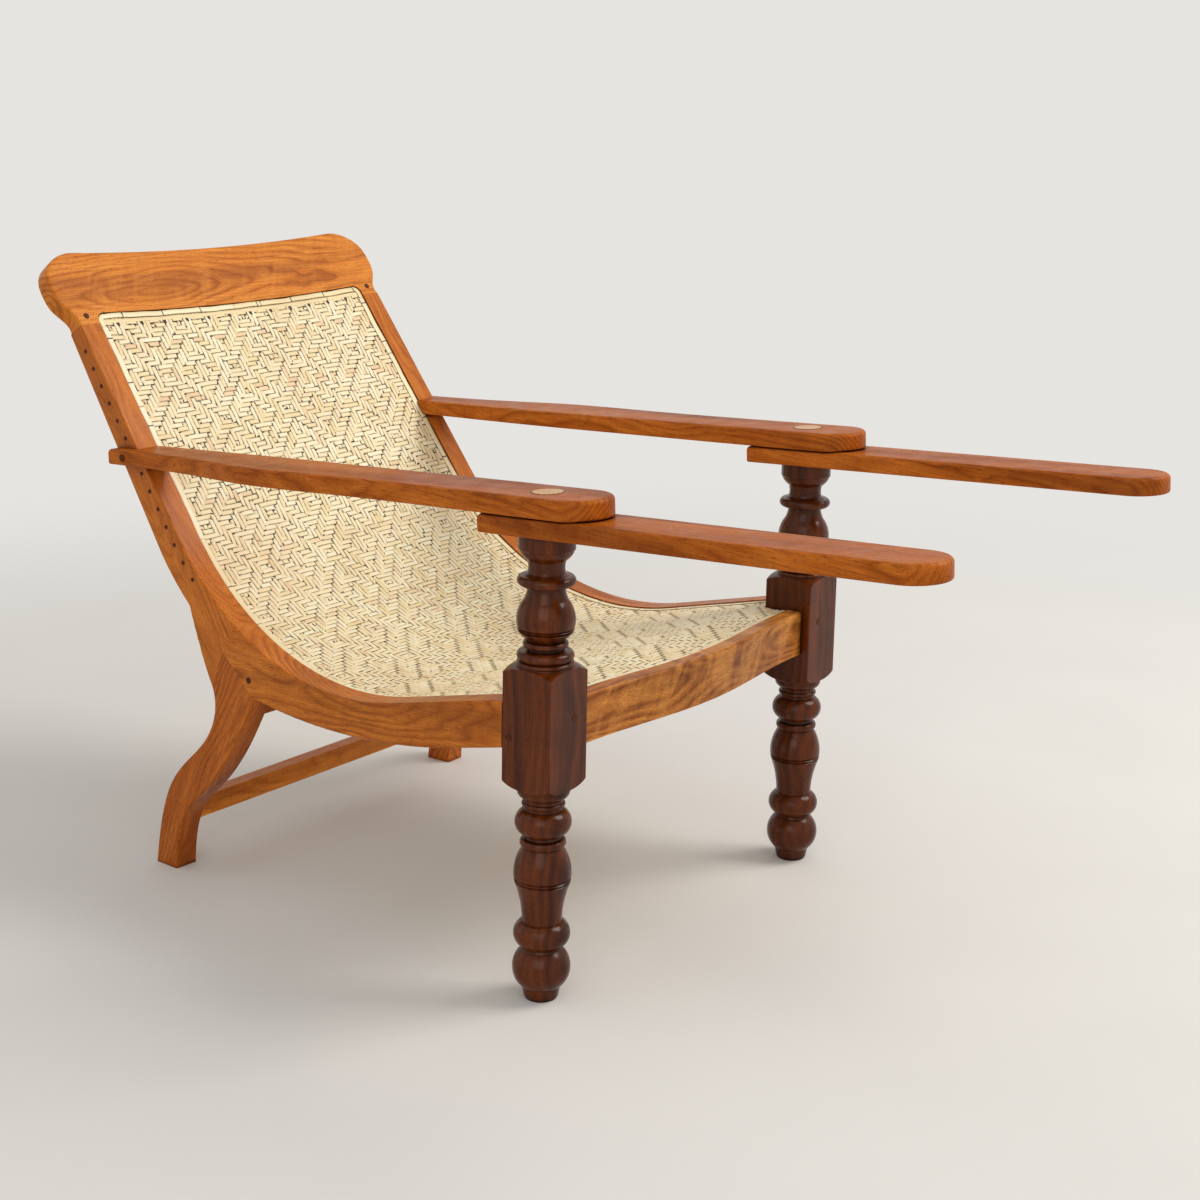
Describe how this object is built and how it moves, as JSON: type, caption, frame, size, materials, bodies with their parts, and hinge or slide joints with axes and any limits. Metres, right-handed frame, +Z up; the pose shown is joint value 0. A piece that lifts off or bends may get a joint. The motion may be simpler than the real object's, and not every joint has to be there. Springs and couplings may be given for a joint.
{
  "type": "planters chair",
  "caption": "Low reclining armchair with turned front legs, a curved woven cane seat and back, and flat leg rests that swing out from under the arms.",
  "frame": {"origin": "on the floor, in the middle of the chair's length and width, with its leg rests swung out to the front", "axes": "+Z up; the chair faces -Y, so +Y points to its back and +X to the sitter's left"},
  "size_m": [0.7142, 1.4962, 0.8815],
  "materials": {
    "frame_wood": "polished reddish-brown teak",
    "turned_wood": "glossy dark teak",
    "arm_wood": "polished reddish-brown teak",
    "peg_wood": "polished dark end grain",
    "cane": "natural woven cane",
    "cane_binder": "natural split cane"
  },
  "bodies": {
    "chair": {"crest_rail": "frame_wood", "right_back_stile": "frame_wood", "left_back_stile": "frame_wood", "right_seat_rail": "frame_wood", "left_seat_rail": "frame_wood", "right_rear_leg": "frame_wood", "left_rear_leg": "frame_wood", "front_rail": "frame_wood", "back_cross_rail": "frame_wood", "rear_stretcher": "frame_wood", "right_front_leg": "turned_wood", "left_front_leg": "turned_wood", "right_armrest": "arm_wood", "left_armrest": "arm_wood", "cane_panel": "cane", "top_cane_binder": "cane_binder", "front_cane_binder": "cane_binder", "right_cane_binder": "cane_binder", "left_cane_binder": "cane_binder", "right_cane_pegs": "peg_wood", "left_cane_pegs": "peg_wood", "crest_pegs": "peg_wood", "leg_pegs": "peg_wood", "post_pegs": "peg_wood", "arm_pegs": "peg_wood"},
    "right_rest": {"right_leg_rest": "arm_wood"},
    "left_rest": {"left_leg_rest": "arm_wood"}
  },
  "joints": [
    {"name": "right_rest_swing", "type": "hinge", "parent": "chair", "child": "right_rest", "pos_m": [-0.303, -0.20429, 0.659], "axis": [0, -0.055, -0.9985], "range_deg": [0, 180]},
    {"name": "left_rest_swing", "type": "hinge", "parent": "chair", "child": "left_rest", "pos_m": [0.303, -0.20429, 0.659], "axis": [0, 0.055, 0.9985], "range_deg": [0, 180]}
  ]
}
